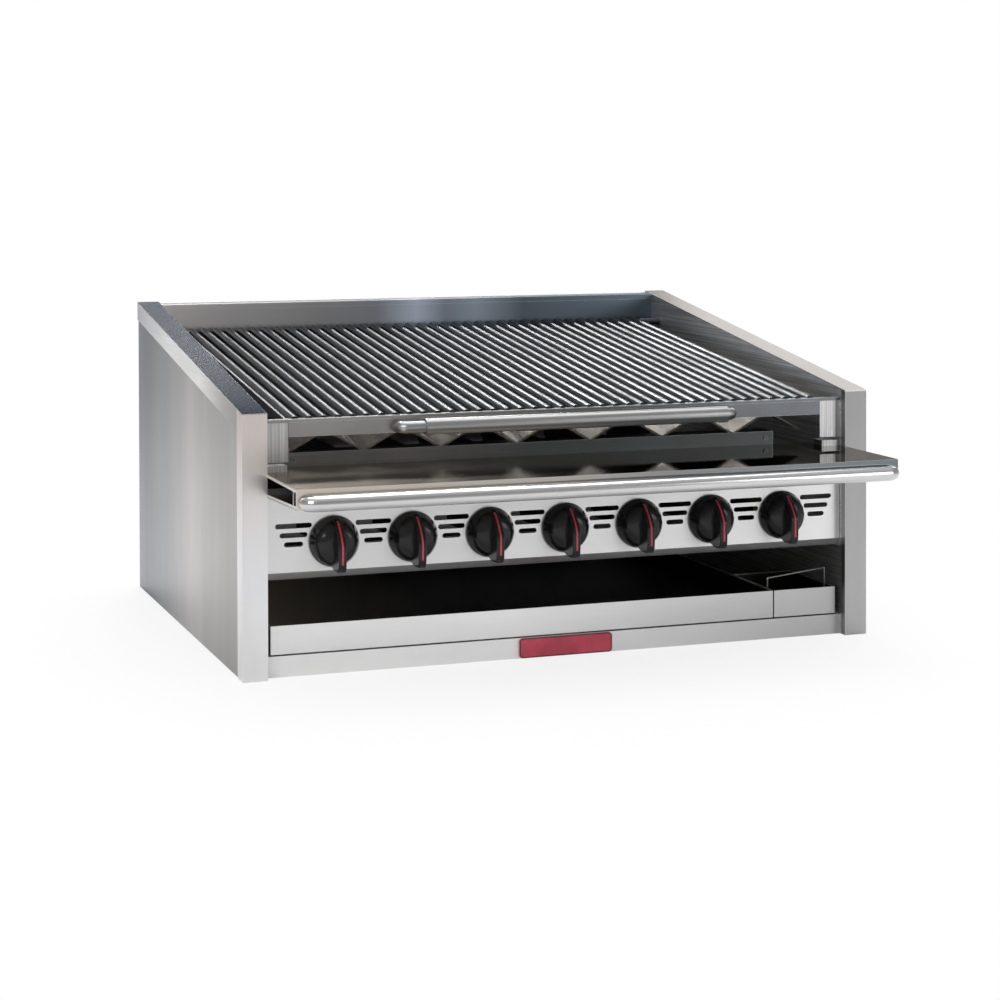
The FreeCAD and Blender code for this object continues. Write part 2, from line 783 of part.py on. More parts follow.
def make_burners():
    """Tube burners with their mixers, the shelves that carry them and the pilot runner."""
    burners = []
    tips = []
    for number, x in enumerate(burner_places(), start=1):
        tube = rod(f"burner_tube_{number}", "burner_radius", "burner_length", "y",
                   x, "burner_front", "burner_height")
        mixer = rod(f"burner_mixer_{number}", "mixer_radius",
                    "mixer_rise_depth + mixer_radius - mixer_front", "y", x, "mixer_front", "knob_height")
        riser = rod(f"burner_riser_{number}", "mixer_radius", "burner_height - knob_height", "z",
                    x, "mixer_rise_depth", "knob_height")
        burners.append(fuse(f"burner_{number}", [tube, mixer, riser]))
        tips.append(rod(f"pilot_tip_{number}", "pilot_radius", "pilot_tip_height", "z",
                        f"{x} + burner_radius + 2*pilot_radius", "pilot_depth", "pilot_height"))
    node("burners", group("burners", burners))
    runner = rod("pilot_pipe", "pilot_radius", f"2*{INNER}", "x", f"-{INNER}", "pilot_depth", "pilot_height")
    node("pilot_runner", fuse("pilot_runner", [runner] + tips))

    shelf_top = "(burner_height - burner_radius - seat_gap)"
    for word, front in (("front", "shelf_front"), ("rear", "shelf_back")):
        outline = [
            (front, shelf_top),
            (front, f"{shelf_top} - shelf_drop"),
            (f"{front} + skin", f"{shelf_top} - shelf_drop"),
            (f"{front} + skin", f"{shelf_top} - skin"),
            (f"{front} + shelf_width", f"{shelf_top} - skin"),
            (f"{front} + shelf_width", shelf_top),
        ]
        name = f"{word}_burner_shelf"
        node(name, profile_along_x(name, outline, (f"-{INNER}", INNER)))


def make_radiants():
    """Burner-box front rail and the seven tent-shaped radiants that seat on it."""
    rail_outline = [
        ("rail_depth", "rail_top"),
        ("rail_depth", "deck_back_low"),
        ("rail_depth + skin", "deck_back_low"),
        ("rail_depth + skin", "rail_top - skin"),
        ("rail_depth + rail_flange", "rail_top - skin"),
        ("rail_depth + rail_flange", "rail_top"),
    ]
    rail = profile_along_x("burner_front_rail", rail_outline, (f"-{INNER}", "rail_right_end"))
    node("burner_front_rail", rail)
    screws = []
    middle = "(rail_top + deck_top)/2"
    for number, x in enumerate(("-screw_side", "rail_right_end - screw_inset"), start=1):
        screws.append(rod(f"rail_screw_{number}", "screw_radius", "screw_height", "y",
                          x, "rail_depth - screw_height", middle))
    node("rail_screws", group("rail_screws", screws))

    radiants = []
    for number, x in enumerate(burner_places(), start=1):
        body = doc.addObject("PartDesign::Body", f"radiant_{number}")
        sketch = new_sketch(body, "XZ_Plane", "-radiant_length")
        add_outline(sketch, [
            ("-radiant_half", "0"),
            ("0", "radiant_rise"),
            ("radiant_half", "0"),
            ("radiant_half - radiant_foot", "0"),
            ("0", "radiant_rise - radiant_thick"),
            ("-radiant_half + radiant_foot", "0"),
        ])
        pad(body, sketch, "radiant_length")
        body.Placement = Placement(Vector(), Rotation(X_AXIS, 1))
        body.setExpression("Placement.Rotation.Angle", tie("grid_slope"))
        radiants.append(place_on_slope(body, x, "0", "0", "radiant_front", RADIANT_SEAT))
    node("radiants", group("radiants", radiants))

    bar_depth = "(radiant_front + (radiant_length - radiant_bar)*cos(grid_slope))"
    bar_top = f"({RADIANT_SEAT} + (radiant_length - radiant_bar)*sin(grid_slope) - radiant_gap)"
    node("radiant_rear_bar", box(
        "radiant_rear_bar", (f"-{INNER}", INNER),
        (bar_depth, f"{bar_depth} + radiant_bar/2"), (f"{bar_top} - radiant_bar", bar_top),
    ))


def make_deck():
    """Work deck: a hollow folded shelf open at its ends, its gussets, bar and clips."""
    outline = [
        ("-deck_out", "deck_top"),
        ("rail_depth", "deck_top"),
        ("rail_depth", "deck_top - skin"),
        ("-deck_out + skin", "deck_top - skin"),
        ("-deck_out + skin", "deck_front_low + skin"),
        ("panel_front", "deck_back_low + skin"),
        ("panel_front", "deck_back_low"),
        ("-deck_out", "deck_front_low"),
    ]
    node("work_deck", profile_along_x("work_deck", outline, (f"-{INNER}", INNER)))
    gussets = []
    for side in (-1, 1):
        gussets.append(make_gusset(side))
    node("deck_gussets", group("deck_gussets", gussets))

    edge = f"({INNER} - deck_bar_inset)"
    node("deck_bar", bent_bar(
        "deck_bar", edge, edge, "deck_bar_radius", "deck_bar_bend",
        DECK_BAR_DEPTH, "-deck_out", "deck_bar_height",
    ))
    clips = []
    for side in (-1, 1):
        clips.append(box(
            f"deck_clip_{side + 2}", sided(side, f"{INNER} - clip_width", INNER),
            ("clip_front", "clip_front + clip_depth"), ("deck_top", "deck_top + clip_height"),
        ))
    node("deck_clips", group("deck_clips", clips))


def make_gusset(side):
    """End frame of the hollow deck: a rim round two openings with a post between them."""
    inside = [
        ("-deck_out + skin", "deck_top - skin"),
        ("panel_front", "deck_top - skin"),
        ("panel_front", "deck_back_low + skin"),
        ("-deck_out + skin", "deck_front_low + skin"),
    ]
    body = doc.addObject("PartDesign::Body", f"deck_gusset_{side + 2}")
    low, high = sided(side, f"{INNER} - skin", INNER)
    sketch = new_sketch(body, "YZ_Plane", low)
    add_outline(sketch, inside)
    fall = "((deck_front_low - deck_back_low)/(deck_out + panel_front))"
    top = "deck_top - skin - gusset_rim"
    post = "(-deck_out + skin + gusset_rim + gusset_post)"
    for front, back in (
        ("-deck_out + skin + gusset_rim", post),
        (f"{post} + gusset_post_width", "panel_front - gusset_rim"),
    ):
        add_outline(sketch, [
            (front, top),
            (back, top),
            (back, f"deck_front_low + skin + gusset_rim - (({back}) + deck_out)*{fall}"),
            (front, f"deck_front_low + skin + gusset_rim - (({front}) + deck_out)*{fall}"),
        ])
    pad(body, sketch, f"({high}) - ({low})")
    return place(body, "0", "0", "0")


def make_brackets():
    """Plates beside the firebox mouth that the grid's front rests on, and its rear pivots."""
    for word, side in (("left", -1), ("right", 1)):
        body = doc.addObject("PartDesign::Body", f"{word}_grid_bracket")
        sketch = new_sketch(body, "XY_Plane", "bracket_low")
        section = [
            (f"{INNER} - bracket_width", "bracket_face"),
            (INNER, "bracket_face"),
            (INNER, "bracket_face + bracket_return"),
            (f"{INNER} - bracket_thick", "bracket_face + bracket_return"),
            (f"{INNER} - bracket_thick", "bracket_face + bracket_thick"),
            (f"{INNER} - bracket_width", "bracket_face + bracket_thick"),
        ]
        add_outline(sketch, [(f"{side}*({across})", up) for across, up in section])
        pad(body, sketch, "bracket_top - bracket_low")
        node(f"{word}_grid_bracket", place(body, "0", "0", "0"))

    pins = []
    for side in (-1, 1):
        pin = doc.addObject("Part::Cylinder", f"pivot_pin_{side + 2}")
        pin.setExpression("Radius", tie("pivot_radius"))
        reach = f"({INNER} - {BAR_HALF} + side_bar_width)"
        pin.setExpression("Height", tie(reach))
        pin.Placement = Placement(Vector(), TURNS["x"])
        low = f"-{INNER}" if side < 0 else f"{INNER} - {reach}"
        pins.append(place_on_slope(pin, low, "pivot_along", "0"))
    node("grid_pivot_pins", group("grid_pivot_pins", pins))


def sloped_bar(name, x, along, above):
    """Straight bar lying in the plane of the grid's rods."""
    piece = doc.addObject("Part::Box", name)
    for side, (low, high) in zip(("Length", "Width", "Height"), (x, along, above)):
        piece.setExpression(side, tie(f"({high}) - ({low})"))
    piece.Placement = Placement(Vector(), Rotation(X_AXIS, 1))
    piece.setExpression("Placement.Rotation.Angle", tie("grid_slope"))
    return place_on_slope(piece, x[0], along[0], above[0])


def sloped_rod(name, radius, length, x, along, above):
    """Round bar lying along the grid's slope."""
    piece = doc.addObject("Part::Cylinder", name)
    piece.setExpression("Radius", tie(radius))
    piece.setExpression("Height", tie(length))
    piece.Placement = Placement(Vector(), Rotation(X_AXIS, -80))
    piece.setExpression("Placement.Rotation.Angle", tie("grid_slope - 90"))
    return place_on_slope(piece, x, along, above)


def make_grid():
    """Tilting cooking grid: front rail and ledge, side bars, notched rear bar and rods."""
    node("grid_front_rail", box(
        "grid_front_rail", (f"-{BAR_HALF}", BAR_HALF),
        ("grid_face", BAR_FACE), ("front_bar_low", "ledge_low"),
    ))
    ledge_half = f"({INNER} - ledge_side_gap)"
    node("grid_front_ledge", box(
        "grid_front_ledge", (f"-{ledge_half}", ledge_half),
        ("rod_front - rod_end_gap - ledge_depth", "rod_front - rod_end_gap"),
        ("ledge_low", "ledge_low + ledge_thick"),
    ))

    side_bars = []
    for side in (-1, 1):
        span = sided(side, f"({BAR_HALF} - side_bar_width)", BAR_HALF)
        plain = sloped_bar(f"side_bar_{side + 2}", span, ("rod_radius", "rod_length"),
                           ("-side_bar_height", "0"))
        hole = doc.addObject("Part::Cylinder", f"side_bar_hole_{side + 2}")
        hole.setExpression("Radius", tie("pivot_radius + pivot_fit"))
        hole.setExpression("Height", tie("3*side_bar_width"))
        hole.Placement = Placement(Vector(), TURNS["x"])
        place_on_slope(hole, f"{span[0]} - side_bar_width", "pivot_along", "0")
        side_bars.append(cut(f"side_bar_bored_{side + 2}", plain, hole))
    node("grid_side_bars", group("grid_side_bars", side_bars))

    inside = f"({BAR_HALF} - side_bar_width)"
    bar = sloped_bar(
        "rear_bar_blank", (f"-{inside}", inside),
        ("rod_length - rear_bar_thick", "rod_length"), ("rear_bar_rise - rear_bar_height", "rear_bar_rise"),
    )
    rods = []
    grooves = []
    for number in range(int(SIZES["rod_count"])):
        x = f"{ROD_PITCH}*({number} - (rod_count - 1)/2)"
        rods.append(sloped_rod(f"grid_rod_{number + 1}", "rod_radius", "rod_length", x, "0", "0"))
        grooves.append(sloped_rod(f"rod_groove_{number + 1}", "rod_radius", "rod_length + rod_radius",
                                  x, "0", "0"))
    node("grid_rods", group("grid_rods", rods))
    node("grid_rear_bar", cut("grid_rear_bar", bar, group("rod_grooves", grooves)))


def make_handle():
    """Bent lifting handle on the grid's front rail, with a loose sleeve slid to the right."""
    node("handle_rod", bent_bar(
        "handle_rod", "handle_left", "handle_right", "handle_radius", "handle_bend",
        HANDLE_DEPTH, "grid_face", "handle_height",
    ))
    straight_end = "(handle_right - handle_radius - handle_bend)"
    low = f"({straight_end} - sleeve_end_gap - sleeve_length)"
    outside = rod("sleeve_outside", "sleeve_radius", "sleeve_length", "x", low, HANDLE_DEPTH, "handle_height")
    bore = rod("sleeve_bore", "handle_radius + sleeve_gap", "sleeve_length + 2*skin", "x",
               f"{low} - skin", HANDLE_DEPTH, "handle_height")
    node("handle_sleeve", cut("handle_sleeve", outside, bore))


def check_and_write():
    """Stop on any failed object, then write every node to its own file."""
    doc.recompute()
    for item in doc.Objects:
        if "Invalid" in item.State or "Error" in item.State:
            raise ValueError(f"{item.Name} failed: {item.State}")
    for piece in nodes:
        if piece.Shape.isNull() or not piece.Shape.isValid():
            raise ValueError(f"{piece.Label} has no valid shape")
    os.makedirs("parts", exist_ok=True)
    for piece in nodes:
        piece.Shape.exportStep(os.path.join("parts", piece.Label + ".step"))


make_cabinet()
make_base()
make_pans()
make_control_panel()
make_controls()
make_gas_pipes()
make_burners()
make_radiants()
make_deck()
make_brackets()
make_grid()
make_handle()
check_and_write()
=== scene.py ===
import math

import bmesh
import bpy
from mathutils import Matrix, Vector


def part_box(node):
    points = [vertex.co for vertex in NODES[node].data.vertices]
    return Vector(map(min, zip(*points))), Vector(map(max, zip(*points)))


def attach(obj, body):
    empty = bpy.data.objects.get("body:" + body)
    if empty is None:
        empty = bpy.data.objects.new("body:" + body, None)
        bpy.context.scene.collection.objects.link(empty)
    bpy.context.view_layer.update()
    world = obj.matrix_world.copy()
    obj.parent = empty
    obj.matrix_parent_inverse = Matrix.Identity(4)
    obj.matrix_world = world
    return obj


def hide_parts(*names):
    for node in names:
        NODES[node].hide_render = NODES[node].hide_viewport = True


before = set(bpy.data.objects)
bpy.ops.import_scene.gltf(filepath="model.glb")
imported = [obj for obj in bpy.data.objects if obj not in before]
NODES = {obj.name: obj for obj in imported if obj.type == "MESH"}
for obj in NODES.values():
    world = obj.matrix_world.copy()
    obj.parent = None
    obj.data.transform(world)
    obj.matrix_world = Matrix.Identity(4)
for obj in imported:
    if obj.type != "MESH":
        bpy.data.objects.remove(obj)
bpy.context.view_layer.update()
MM = 0.001
X, Y, Z = range(3)
KNOBS = range(1, 8)

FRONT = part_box("left_column")[0][Y]
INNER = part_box("right_column")[0][X]
PANEL_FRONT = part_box("control_panel")[0][Y]


# ---------------------------------------------------------------- shared effects

WEAR_REACH = 0.9 * MM
FINE_SCALE = 160.0
SMEAR_SCALE = 14.0


def new_group(name, inputs, outputs):
    """Shader node group with named float, colour or vector sockets."""
    group = bpy.data.node_groups.new(name, "ShaderNodeTree")
    for label, kind, default in inputs:
        socket = group.interface.new_socket(label, in_out="INPUT", socket_type=kind)
        if default is not None:
            socket.default_value = default
    for label, kind in outputs:
        group.interface.new_socket(label, in_out="OUTPUT", socket_type=kind)
    return group, group.nodes.new("NodeGroupInput"), group.nodes.new("NodeGroupOutput")


def math_node(tree, operation, *values, clamp=False):
    """Math node whose inputs are sockets or plain numbers."""
    item = tree.nodes.new("ShaderNodeMath")
    item.operation = operation
    item.use_clamp = clamp
    for index, value in enumerate(values):
        if isinstance(value, (int, float)):
            item.inputs[index].default_value = value
        else:
            tree.links.new(value, item.inputs[index])
    return item.outputs[0]


def ramp_node(tree, value, stops):
    """Colour ramp over a value, from (place, grey or colour) stops."""
    item = tree.nodes.new("ShaderNodeValToRGB")
    elements = item.color_ramp.elements
    while len(elements) < len(stops):
        elements.new(0.5)
    for element, (place, colour) in zip(elements, stops):
        element.position = place
        element.color = colour if isinstance(colour, tuple) else (colour, colour, colour, 1)
    tree.links.new(value, item.inputs[0])
    return item.outputs[0]


def stretched_noise(tree, stretch, scale, detail, rough=0.55):
    """Noise over the object's own coordinates, stretched by a factor along each axis."""
    coords = tree.nodes.new("ShaderNodeTexCoord")
    mapping = tree.nodes.new("ShaderNodeMapping")
    mapping.inputs["Scale"].default_value = stretch
    tree.links.new(coords.outputs["Object"], mapping.inputs["Vector"])
    noise = tree.nodes.new("ShaderNodeTexNoise")
    noise.inputs["Scale"].default_value = scale
    noise.inputs["Detail"].default_value = detail
    noise.inputs["Roughness"].default_value = rough
    tree.links.new(mapping.outputs[0], noise.inputs["Vector"])
    return noise.outputs["Fac"]


def make_grain_group(name, stretch):
    """Brushed grain that runs along one axis: fine height, and broad smears for roughness."""
    group, source, sink = new_group(
        name, [("Depth", "NodeSocketFloat", 1.0)],
        [("Height", "NodeSocketFloat"), ("Smear", "NodeSocketFloat"), ("Fine", "NodeSocketFloat")],
    )
    fine = stretched_noise(group, stretch, FINE_SCALE, 3.0)
    broad = tuple(0.2 + value * 0.12 for value in stretch)
    smear = stretched_noise(group, broad, SMEAR_SCALE, 4.0)
    group.links.new(math_node(group, "MULTIPLY", fine, source.outputs["Depth"]), sink.inputs["Height"])
    group.links.new(smear, sink.inputs["Smear"])
    group.links.new(fine, sink.inputs["Fine"])
    return group


def make_wear_group():
    """Mask of worn edges and corners, broken up by noise."""
    group, source, sink = new_group(
        "edge_wear", [("Amount", "NodeSocketFloat", 1.0)], [("Mask", "NodeSocketFloat")])
    geometry = group.nodes.new("ShaderNodeNewGeometry")
    rounded = group.nodes.new("ShaderNodeBevel")
    rounded.samples = 4
    rounded.inputs["Radius"].default_value = WEAR_REACH
    facing = group.nodes.new("ShaderNodeVectorMath")
    facing.operation = "DOT_PRODUCT"
    group.links.new(geometry.outputs["True Normal"], facing.inputs[0])
    group.links.new(rounded.outputs[0], facing.inputs[1])
    edge = ramp_node(group, facing.outputs["Value"], [(0.8, 1.0), (0.97, 0.0)])
    noise = stretched_noise(group, (1, 1, 1), 60.0, 4.0)
    broken = math_node(group, "MULTIPLY", edge, math_node(group, "ADD", noise, 0.25))
    mask = math_node(group, "MULTIPLY", broken, source.outputs["Amount"], clamp=True)
    group.links.new(mask, sink.inputs["Mask"])
    return group


def make_soot_group():
    """Cloudy mask of greasy stain and heat stain, thicker in patches."""
    group, source, sink = new_group(
        "soot", [("Amount", "NodeSocketFloat", 0.5)], [("Mask", "NodeSocketFloat")])
    cloud = stretched_noise(group, (1, 1, 1), 9.0, 6.0, 0.65)
    patch = ramp_node(group, cloud, [(0.35, 0.0), (0.7, 1.0)])
    mask = math_node(group, "MULTIPLY", patch, source.outputs["Amount"], clamp=True)
    group.links.new(mask, sink.inputs["Mask"])
    return group


GRAIN_X = make_grain_group("grain_along_x", (0.02, 6.0, 6.0))
GRAIN_Y = make_grain_group("grain_along_y", (6.0, 0.02, 6.0))
GRAIN_Z = make_grain_group("grain_along_z", (6.0, 6.0, 0.02))
WEAR = make_wear_group()
SOOT = make_soot_group()


# ---------------------------------------------------------------- materials

def new_material(name):
    """Material with a bare principled shader."""
    material = bpy.data.materials.new(name)
    material.use_nodes = True
    tree = material.node_tree
    return material, tree, tree.nodes["Principled BSDF"]


def add_group(tree, group, **values):
    """Instance of a shared effect with some of its inputs set."""
    item = tree.nodes.new("ShaderNodeGroup")
    item.node_tree = group
    for label, value in values.items():
        item.inputs[label].default_value = value
    return item


def mix_colours(tree, mask, first, second, blend="MIX"):
    """Colour mix; each colour is a socket or a plain colour, the mask a socket or number."""
    item = tree.nodes.new("ShaderNodeMix")
    item.data_type = "RGBA"
    item.blend_type = blend
    for value, place in ((mask, 0), (first, 6), (second, 7)):
        if isinstance(value, (int, float, tuple)):
            item.inputs[place].default_value = value
        else:
            tree.links.new(value, item.inputs[place])
    return item.outputs[2]


def span_of(tree, axis, low, high):
    """Where a point lies between two places along one axis, from 0 to 1."""
    coords = tree.nodes.new("ShaderNodeTexCoord")
    split = tree.nodes.new("ShaderNodeSeparateXYZ")
    tree.links.new(coords.outputs["Object"], split.inputs[0])
    item = tree.nodes.new("ShaderNodeMapRange")
    item.inputs["From Min"].default_value = low
    item.inputs["From Max"].default_value = high
    tree.links.new(split.outputs[axis], item.inputs["Value"])
    return item.outputs["Result"]


def tone_over(tree, shade):
    """Tone that changes slowly along one axis; shade is (axis, low, high, stops)."""
    axis, low, high, stops = shade
    return ramp_node(tree, span_of(tree, axis, low, high), stops)


def scaled(colour, factor):
    """Colour made darker or lighter by a factor, with full alpha."""
    return tuple(min(1.0, part * factor) for part in colour) + (1,)


def add_bump(tree, shader, height, strength, distance):
    """Fine relief from a height, on the shader's normal."""
    bump = tree.nodes.new("ShaderNodeBump")
    bump.inputs["Strength"].default_value = strength
    bump.inputs["Distance"].default_value = distance
    tree.links.new(height, bump.inputs["Height"])
    tree.links.new(bump.outputs[0], shader.inputs["Normal"])


SOOT_BROWN = (0.06, 0.045, 0.032, 1)
WORN_BRIGHT = (0.92, 0.92, 0.93, 1)
# Painted shade inside recesses: the distances over which it sets in behind a depth and below a rim.
RECESS_SHADE_START = 2 * MM
RECESS_SHADE_RIM = 1.2 * MM
BRUSHED_RELIEF = 0.2 * MM
IRON_RELIEF = 0.4 * MM
MOULDED_RELIEF = 0.3 * MM
# Painted brown glow at the left of a recess, fading into painted shade to the right.
RECESS_SHADE_AND_GLOW = [
    (0.0, (0.62, 0.54, 0.42, 1)), (0.14, (0.4, 0.34, 0.26, 1)), (0.38, (0.03, 0.025, 0.02, 1)),
]


def top_mask(tree):
    """White where a surface faces up, black where it faces sideways or down."""
    geometry = tree.nodes.new("ShaderNodeNewGeometry")
    split = tree.nodes.new("ShaderNodeSeparateXYZ")
    tree.links.new(geometry.outputs["True Normal"], split.inputs[0])
    return ramp_node(tree, split.outputs["Z"], [(0.55, 0.0), (0.8, 1.0)])


def paint_recess_shade(tree, tint, place):
    """Painted shade on steel behind a depth and below a rim, with a painted brown glow to the left."""
    depth_in, rim = place
    behind = tone_over(tree, (Y, depth_in, depth_in + RECESS_SHADE_START, [(0.0, 0.0), (1.0, 1.0)]))
    below = tone_over(tree, (Z, rim - RECESS_SHADE_RIM, rim, [(0.0, 1.0), (0.6, 0.0)]))
    recess_tone = tone_over(tree, (X, -INNER, INNER, RECESS_SHADE_AND_GLOW))
    return mix_colours(tree, math_node(tree, "MULTIPLY", behind, below), tint, recess_tone)


def brushed_steel(name, grain, colour=0.62, rough=0.3, shade=None, soot=0.0, depth=1.0,
                  painted_top_light=None, painted_shade_behind=None, edge_tint=None, rough_shade=None,
                  top_rough=None, streak=0.0, metal=1.0):
    """Brushed stainless steel; shade is (axis, low, high, stops) for painted light and shade that
    change slowly along one axis, depth how deep the brush strokes are, painted_top_light the painted
    tone of faces that look up, or its shade, painted_shade_behind the depth and rim where painted
    shade begins in a recess, edge_tint how much a glancing view still reflects, rough_shade a slow
    change of gloss, top_rough the roughness of faces that look up, streak the contrast of the strokes
    and metal how metallic other faces are."""
    material, tree, shader = new_material(name)
    strokes = add_group(tree, grain, Depth=depth)
    tint = ramp_node(tree, strokes.outputs["Smear"], [(0.3, colour * 0.93), (0.7, min(1.0, colour * 1.06))])
    if streak:
        line = ramp_node(tree, strokes.outputs["Fine"], [(0.38, 1 - streak), (0.62, 1.0)])
        tint = mix_colours(tree, 1.0, tint, line, "MULTIPLY")
    # Painted light and shade along one axis, multiplied into the colour.
    if shade:
        tint = mix_colours(tree, 1.0, tint, tone_over(tree, shade), "MULTIPLY")
    # Painted light: faces that look up get a tone of their own.
    if painted_top_light:
        if isinstance(painted_top_light[-1], list):
            painted_top_light = tone_over(tree, painted_top_light)
        tint = mix_colours(tree, top_mask(tree), tint, painted_top_light)
    # Painted shade inside a recess, with a painted brown glow to the left.
    if painted_shade_behind:
        tint = paint_recess_shade(tree, tint, painted_shade_behind)
    if soot:
        stain = add_group(tree, SOOT, Amount=soot)
        tint = mix_colours(tree, stain.outputs["Mask"], tint, SOOT_BROWN)
    wear = add_group(tree, WEAR, Amount=0.7)
    tint = mix_colours(tree, wear.outputs["Mask"], tint, WORN_BRIGHT)
    tree.links.new(tint, shader.inputs["Base Color"])
    unevenness = 0.16 * min(1.0, depth)
    rougher = math_node(tree, "MULTIPLY", strokes.outputs["Fine"], unevenness)
    level = tone_over(tree, rough_shade) if rough_shade else rough - unevenness / 2
    if top_rough is not None:
        smoother = math_node(tree, "MULTIPLY", top_mask(tree), top_rough - rough)
        level = math_node(tree, "ADD", smoother, level)
    tree.links.new(math_node(tree, "ADD", rougher, level), shader.inputs["Roughness"])
    if metal < 1:
        tree.links.new(math_node(tree, "MAXIMUM", top_mask(tree), metal), shader.inputs["Metallic"])
    else:
        shader.inputs["Metallic"].default_value = metal
    if edge_tint:
        shader.inputs["Specular Tint"].default_value = edge_tint
    add_bump(tree, shader, strokes.outputs["Height"], 0.12, BRUSHED_RELIEF)
    return material


def cast_iron(name, colour, rough, metallic, scale, pitting=0.35):
    """Dark seasoned iron with a grainy skin and paler rubbed spots."""
    material, tree, shader = new_material(name)
    grit = stretched_noise(tree, (1, 1, 1), scale, 6.0, 0.7)
    cloud = stretched_noise(tree, (1, 0.4, 1), 22.0, 4.0)
    tone = ramp_node(tree, grit, [(0.3, scaled(colour, 0.55)), (0.72, scaled(colour, 1.5))])
    wear = add_group(tree, WEAR, Amount=0.5)
    tone = mix_colours(tree, wear.outputs["Mask"], tone, scaled(colour, 2.4))
    tree.links.new(tone, shader.inputs["Base Color"])
    shader.inputs["Metallic"].default_value = metallic
    rougher = math_node(tree, "MULTIPLY", cloud, 0.3)
    tree.links.new(math_node(tree, "ADD", rougher, rough - 0.15), shader.inputs["Roughness"])
    add_bump(tree, shader, grit, pitting, IRON_RELIEF)
    return material


def moulded(name, colour, rough, coat=0.0, bump_strength=0.05, metallic=0.0, gleam=0.5):
    """Moulded or enamelled surface with faint unevenness."""
    material, tree, shader = new_material(name)
    cloud = stretched_noise(tree, (1, 1, 1), 35.0, 4.0)
    tone = ramp_node(tree, cloud, [(0.35, scaled(colour, 0.85)), (0.65, scaled(colour, 1.15))])
    tree.links.new(tone, shader.inputs["Base Color"])
    rougher = math_node(tree, "MULTIPLY", cloud, 0.12)
    tree.links.new(math_node(tree, "ADD", rougher, rough - 0.05), shader.inputs["Roughness"])
    shader.inputs["Coat Weight"].default_value = coat
    shader.inputs["Specular IOR Level"].default_value = gleam
    shader.inputs["Metallic"].default_value = metallic
    add_bump(tree, shader, stretched_noise(tree, (1, 1, 1), 400.0, 3.0), bump_strength, MOULDED_RELIEF)
    return material


def dress(material, *names):
    """Give CAD nodes a material."""
    for name in names:
        node = NODES[name]
        node.data.materials.clear()
        node.data.materials.append(material)


SIDE_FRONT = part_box("left_side_skin")[0][Y]
SIDE_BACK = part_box("left_side_skin")[1][Y]
# Painted light along the left side skin: dark at the front fold, brightest in the middle, darker and bluer
# towards the back.
SIDE_PAINTED_LIGHT = (Y, SIDE_FRONT, SIDE_BACK, [
    (0.0, (0.3, 0.3, 0.29, 1)), (0.04, (0.7, 0.68, 0.66, 1)), (0.2, (0.74, 0.72, 0.7, 1)),
    (0.45, (0.92, 0.89, 0.88, 1)), (0.7, (0.62, 0.63, 0.65, 1)), (0.92, (0.44, 0.46, 0.5, 1)),
    (1.0, (0.5, 0.51, 0.54, 1)),
])
COLUMN_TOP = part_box("left_column")[1][Z]
# Painted light up the left column: brightest at the bottom, darker and warmer towards the top.
LEFT_COLUMN_PAINTED_LIGHT = (Z, 0.0, COLUMN_TOP, [
    (0.0, (1.0, 1.0, 1.0, 1)), (0.45, (0.84, 0.84, 0.86, 1)), (0.8, (0.78, 0.73, 0.7, 1)),
    (1.0, (0.72, 0.66, 0.63, 1)),
])
# Painted shade up the right column: darker towards the top.
RIGHT_COLUMN_PAINTED_SHADE = (Z, 0.0, COLUMN_TOP, [(0.0, 1.0), (0.5, 0.84), (1.0, 0.68)])
# Painted light along the left cap's lip: dark at the front, bright in the middle, greyer at the back.
LIP_PAINTED_LIGHT = (Y, SIDE_FRONT, SIDE_BACK, [
    (0.0, (0.36, 0.34, 0.32, 1)), (0.14, (0.5, 0.48, 0.45, 1)), (0.36, (1.0, 1.0, 0.98, 1)),
    (0.65, (1.0, 1.0, 1.0, 1)), (1.0, (0.6, 0.6, 0.64, 1)),
])
# Painted reflection on the left cap's top faces: darkest at the front, lighter and bluer towards the back.
CAP_TOP_PAINTED_REFLECTION = (Y, SIDE_FRONT, SIDE_BACK, [
    (0.0, (0.09, 0.09, 0.09, 1)), (0.4, (0.165, 0.168, 0.17, 1)), (1.0, (0.215, 0.225, 0.235, 1)),
])
# Painted reflection across the backsplash: pale and warm to the left, a painted blue highlight near the
# middle, darker and bluer to the right.
BACKSPLASH_PAINTED_LIGHT = (X, -INNER, INNER, [
    (0.0, (1.0, 0.95, 0.93, 1)), (0.12, (0.72, 0.7, 0.7, 1)), (0.3, (0.46, 0.46, 0.47, 1)),
    (0.42, (0.34, 0.36, 0.39, 1)), (0.5, (0.66, 0.74, 0.88, 1)), (0.56, (0.3, 0.34, 0.4, 1)),
    (0.62, (0.36, 0.43, 0.5, 1)), (0.72, (0.12, 0.15, 0.18, 1)), (1.0, (0.15, 0.19, 0.23, 1)),
])
# Painted light across the water pan and grease box: brightest left of the middle, darker to the right.
PAN_PAINTED_LIGHT = (X, -INNER, INNER, [(0.0, 0.96), (0.4, 1.0), (0.7, 0.72), (1.0, 0.45)])
# Painted light across the base rail: brightest left of the middle, darker to the right.
BASE_PAINTED_LIGHT = (X, -INNER, INNER, [(0.0, 0.94), (0.4, 1.0), (0.7, 0.78), (1.0, 0.5)])
# Painted light along the burner rail: pale and warm to the left, darker and bluer to the right.
BURNER_RAIL_PAINTED_LIGHT = (X, -INNER, INNER, [
    (0.0, (1.0, 0.97, 0.93, 1)), (0.3, (0.85, 0.85, 0.85, 1)), (0.45, (0.5, 0.53, 0.55, 1)),
    (1.0, (0.42, 0.48, 0.52, 1)),
])
